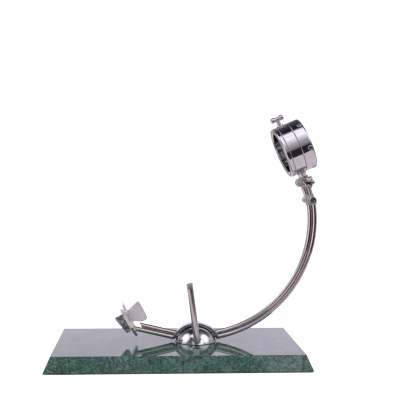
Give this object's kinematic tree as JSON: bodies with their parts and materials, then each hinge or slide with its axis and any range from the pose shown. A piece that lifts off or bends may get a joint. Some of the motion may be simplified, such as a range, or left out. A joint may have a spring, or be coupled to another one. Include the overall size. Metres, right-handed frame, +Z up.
{
  "type": "ham holder stand",
  "caption": "Ham stand: bevelled stone base, rolling and turning ball pivot with clamp lever, double-rod arc arm, toothed cradle and tilting, turning clamp ring for the hock.",
  "frame": {"origin": "centre of the plane that the rubber mat under the stone rests on", "axes": "+Z up, +X along the base towards the clamp ring, -Y towards the carver, who faces the lever and the star knob"},
  "size_m": [0.535, 0.28, 0.4919],
  "materials": {
    "marble": "polished green marble",
    "rubber": "matt",
    "nylon": "machined",
    "mirror_steel": "polished stainless steel",
    "satin_steel": "satin stainless steel",
    "turned_steel": "turned stainless steel",
    "bronze": "machined"
  },
  "bodies": {
    "base": {"base_slab": "marble", "base_mat": "rubber", "swivel_bush": "nylon"},
    "ball": {"pivot_ball": "mirror_steel", "axle_bushes": "bronze", "swivel_washer": "turned_steel", "swivel_nut": "turned_steel"},
    "arm": {"yoke_bow": "satin_steel", "roll_axle": "turned_steel", "arm_rod_upper": "satin_steel", "arm_rod_lower": "satin_steel", "arc_rod_inner": "satin_steel", "arc_rod_outer": "satin_steel", "cradle_cross_plate": "satin_steel", "cradle_long_plate": "satin_steel", "cradle_pin": "turned_steel", "arc_fork": "satin_steel", "lower_pivot_screw": "mirror_steel", "lower_pivot_nut": "mirror_steel"},
    "lever": {"lever_screw": "turned_steel", "lever_bar": "satin_steel", "lever_cap": "mirror_steel", "lever_washer": "turned_steel"},
    "link": {"link_rods": "satin_steel", "link_eye_lower": "satin_steel", "link_eye_upper": "satin_steel"},
    "head": {"neck_fork": "satin_steel", "upper_pivot_bolt": "turned_steel", "knob_washer": "turned_steel", "ring_housing": "mirror_steel", "front_bush": "nylon", "rear_bush": "nylon"},
    "knob": {"star_knob": "mirror_steel"},
    "rotor": {"ring_sleeve": "mirror_steel", "clamp_ring": "mirror_steel"},
    "lock": {"lock_screw": "turned_steel", "lock_bar": "mirror_steel", "lock_pad": "bronze"},
    "screw_1": {"clamp_screw_1": "turned_steel"},
    "screw_2": {"clamp_screw_2": "turned_steel"},
    "screw_3": {"clamp_screw_3": "turned_steel"},
    "screw_4": {"clamp_screw_4": "turned_steel"},
    "screw_5": {"clamp_screw_5": "turned_steel"},
    "screw_6": {"clamp_screw_6": "turned_steel"}
  },
  "joints": [
    {"name": "base_swivel", "type": "hinge", "parent": "base", "child": "ball", "pos_m": [0.037, 0, 0.031], "axis": [0, 0, 1], "continuous": true},
    {"name": "arm_roll", "type": "hinge", "parent": "ball", "child": "arm", "pos_m": [0.037, 0, 0.0435], "axis": [1, 0, 0], "range_deg": [-15, 15]},
    {"name": "lever_turn", "type": "hinge", "parent": "ball", "child": "lever", "pos_m": [0.037, -0.0445, 0.0435], "axis": [0, -1, 0], "range_deg": [-60, 60]},
    {"name": "lower_tilt", "type": "hinge", "parent": "arm", "child": "link", "pos_m": [0.271, 0, 0.3193], "axis": [0, -1, 0], "range_deg": [-30, 30]},
    {"name": "upper_tilt", "type": "hinge", "parent": "link", "child": "head", "pos_m": [0.259, 0, 0.3555], "axis": [0, -1, 0], "range_deg": [-30, 30]},
    {"name": "knob_turn", "type": "hinge", "parent": "head", "child": "knob", "pos_m": [0.259, -0.018, 0.3555], "axis": [0, -1, 0], "range_deg": [0, 180]},
    {"name": "ring_spin", "type": "hinge", "parent": "head", "child": "rotor", "pos_m": [0.23204, 0, 0.42419], "axis": [0.9135, 0, 0.4067], "continuous": true},
    {"name": "lock_turn", "type": "hinge", "parent": "head", "child": "lock", "pos_m": [0.19987, 0, 0.47555], "axis": [-0.4067, 0, 0.9135], "range_deg": [0, 240]},
    {"name": "screw_1_travel", "type": "slide", "parent": "rotor", "child": "screw_1", "axis": [0.307, 0.6561, -0.6895], "range_m": [0, 0.01]},
    {"name": "screw_2_travel", "type": "slide", "parent": "rotor", "child": "screw_2", "axis": [-0.0776, 0.9816, 0.1743], "range_m": [0, 0.01]},
    {"name": "screw_3_travel", "type": "slide", "parent": "rotor", "child": "screw_3", "axis": [-0.3846, 0.3256, 0.8638], "range_m": [0, 0.01]},
    {"name": "screw_4_travel", "type": "slide", "parent": "rotor", "child": "screw_4", "axis": [-0.307, -0.6561, 0.6895], "range_m": [0, 0.01]},
    {"name": "screw_5_travel", "type": "slide", "parent": "rotor", "child": "screw_5", "axis": [0.0776, -0.9816, -0.1743], "range_m": [0, 0.01]},
    {"name": "screw_6_travel", "type": "slide", "parent": "rotor", "child": "screw_6", "axis": [0.3846, -0.3256, -0.8638], "range_m": [0, 0.01]}
  ]
}
